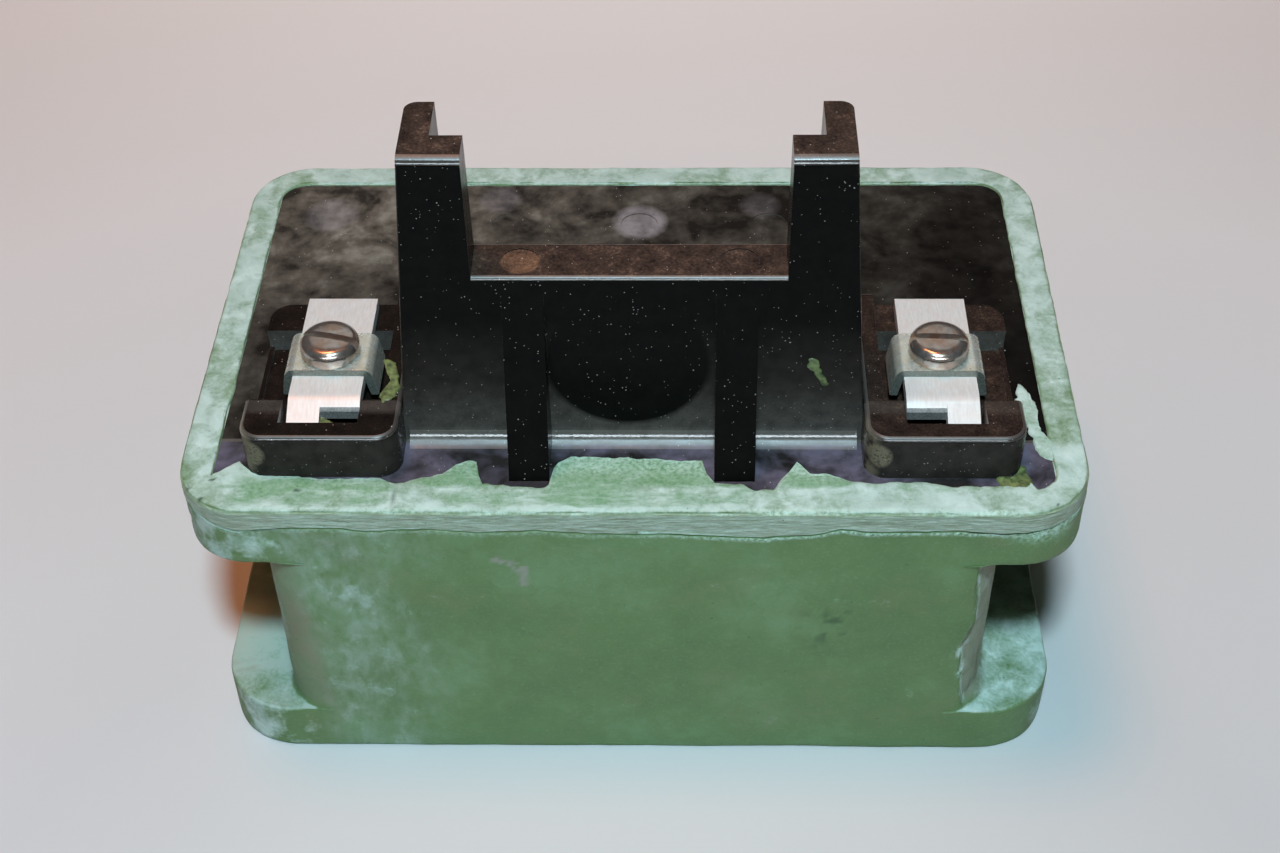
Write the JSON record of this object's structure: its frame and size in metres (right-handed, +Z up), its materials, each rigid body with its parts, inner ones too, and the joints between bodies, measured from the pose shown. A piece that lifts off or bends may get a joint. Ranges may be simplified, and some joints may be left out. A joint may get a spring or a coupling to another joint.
{
  "type": "contactor magnet coil",
  "caption": "Encapsulated operating coil of a large magnetic contactor: waisted green epoxy block, black terminal board with two screw terminals and tall guide arms.",
  "frame": {"origin": "centre of the underside of the lower flange, on the axis of the core window", "axes": "+X along the long side towards the right terminal, +Y from the terminal front to the back, +Z up through the core window"},
  "size_m": [0.12, 0.075, 0.095],
  "materials": {
    "green_epoxy": "matt, cast and dusty",
    "green_epoxy_rim": "matt, chalky, chipped",
    "black_phenolic": "moulded, glossy walls, dusty flats",
    "tube_fibre": "satin",
    "insulating_board": "matt",
    "magnet_wire": "enamelled copper",
    "layer_paper": "matt",
    "glass_tape": "woven tape",
    "lead_wire": "tinned copper",
    "lead_sleeve": "satin",
    "solder": "dull",
    "insert_brass": "satin",
    "strip_metal": "sheared and grained, dull",
    "zinc_clamp": "zinc plated, yellow tint",
    "zinc_screw": "zinc plated, tarnished"
  },
  "bodies": {
    "coil": {"terminal_board": "black_phenolic", "encapsulation_body": "green_epoxy", "encapsulation_collar": "green_epoxy_rim", "core_tube": "tube_fibre", "bottom_washer": "insulating_board", "top_washer": "insulating_board", "winding_inner": "magnet_wire", "winding_middle": "magnet_wire", "winding_outer": "magnet_wire", "ground_insulation": "layer_paper", "layer_wrap_inner": "layer_paper", "layer_wrap_outer": "layer_paper", "outer_tape_wrap": "glass_tape", "start_lead": "lead_wire", "start_lead_sleeve": "lead_sleeve", "finish_lead": "lead_wire", "finish_lead_sleeve": "lead_sleeve", "solder_joint_left": "solder", "threaded_insert_left": "insert_brass", "terminal_strip_left": "strip_metal", "solder_joint_right": "solder", "threaded_insert_right": "insert_brass", "terminal_strip_right": "strip_metal"},
    "saddle_left": {"saddle_clamp_left": "zinc_clamp"},
    "screw_left": {"terminal_screw_left": "zinc_screw"},
    "saddle_right": {"saddle_clamp_right": "zinc_clamp"},
    "screw_right": {"terminal_screw_right": "zinc_screw"}
  },
  "joints": [
    {"name": "saddle_left_lift", "type": "slide", "parent": "coil", "child": "saddle_left", "axis": [0, 0, 1], "range_m": [0, 0.00238]},
    {"name": "screw_left_turn", "type": "hinge", "parent": "saddle_left", "child": "screw_left", "pos_m": [-0.0408, -0.0141, 0.0566], "axis": [0, 0, 1], "range_deg": [0, 1080]},
    {"name": "saddle_right_lift", "type": "slide", "parent": "coil", "child": "saddle_right", "axis": [0, 0, 1], "range_m": [0, 0.00238]},
    {"name": "screw_right_turn", "type": "hinge", "parent": "saddle_right", "child": "screw_right", "pos_m": [0.0408, -0.0141, 0.0566], "axis": [0, 0, 1], "range_deg": [0, 1080]}
  ],
  "couplings": [
    {"joint": "screw_left_turn", "follows": "saddle_left_lift", "rad_per_m": 7915.8},
    {"joint": "screw_right_turn", "follows": "saddle_right_lift", "rad_per_m": 7915.8}
  ]
}
